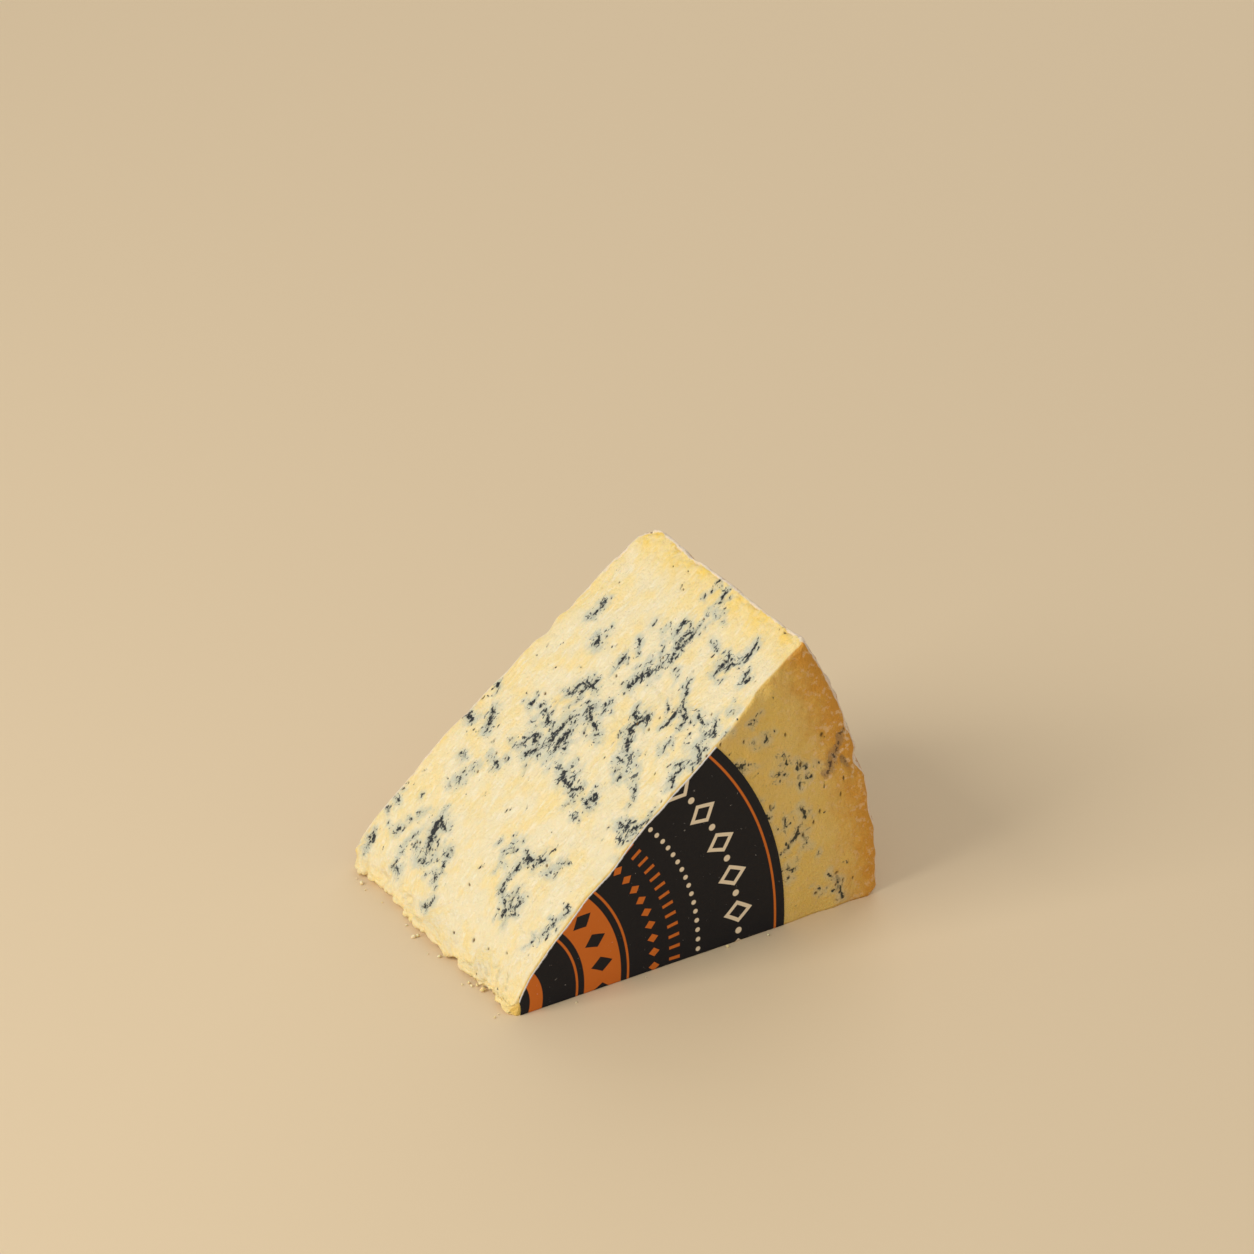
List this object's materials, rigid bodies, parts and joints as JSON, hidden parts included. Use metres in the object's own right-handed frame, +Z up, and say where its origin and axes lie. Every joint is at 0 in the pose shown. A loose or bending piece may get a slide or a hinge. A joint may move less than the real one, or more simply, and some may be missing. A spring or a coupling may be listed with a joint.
{
  "type": "stilton wedge",
  "caption": "Wedge of blue-veined cheese cut from a low drum and lying on one cut face, with a sector of round paper label on its flat side.",
  "frame": {"origin": "on the table, under the middle of the wedge's bounding box", "axes": "+Z up from the cut face that it rests on, +X along the table from the tip to the rind, +Y along the drum's own axis from the labelled face to the back face"},
  "size_m": [0.1192, 0.0896, 0.0877],
  "materials": {
    "cheese": "moist crumbly cheese, cream with blue-black veins, golden to tan at the rind",
    "label": "matt printed paper, dark field with orange bands and cream marks"
  },
  "bodies": {
    "root": {"cheese": "cheese", "label": "label"}
  },
  "joints": []
}
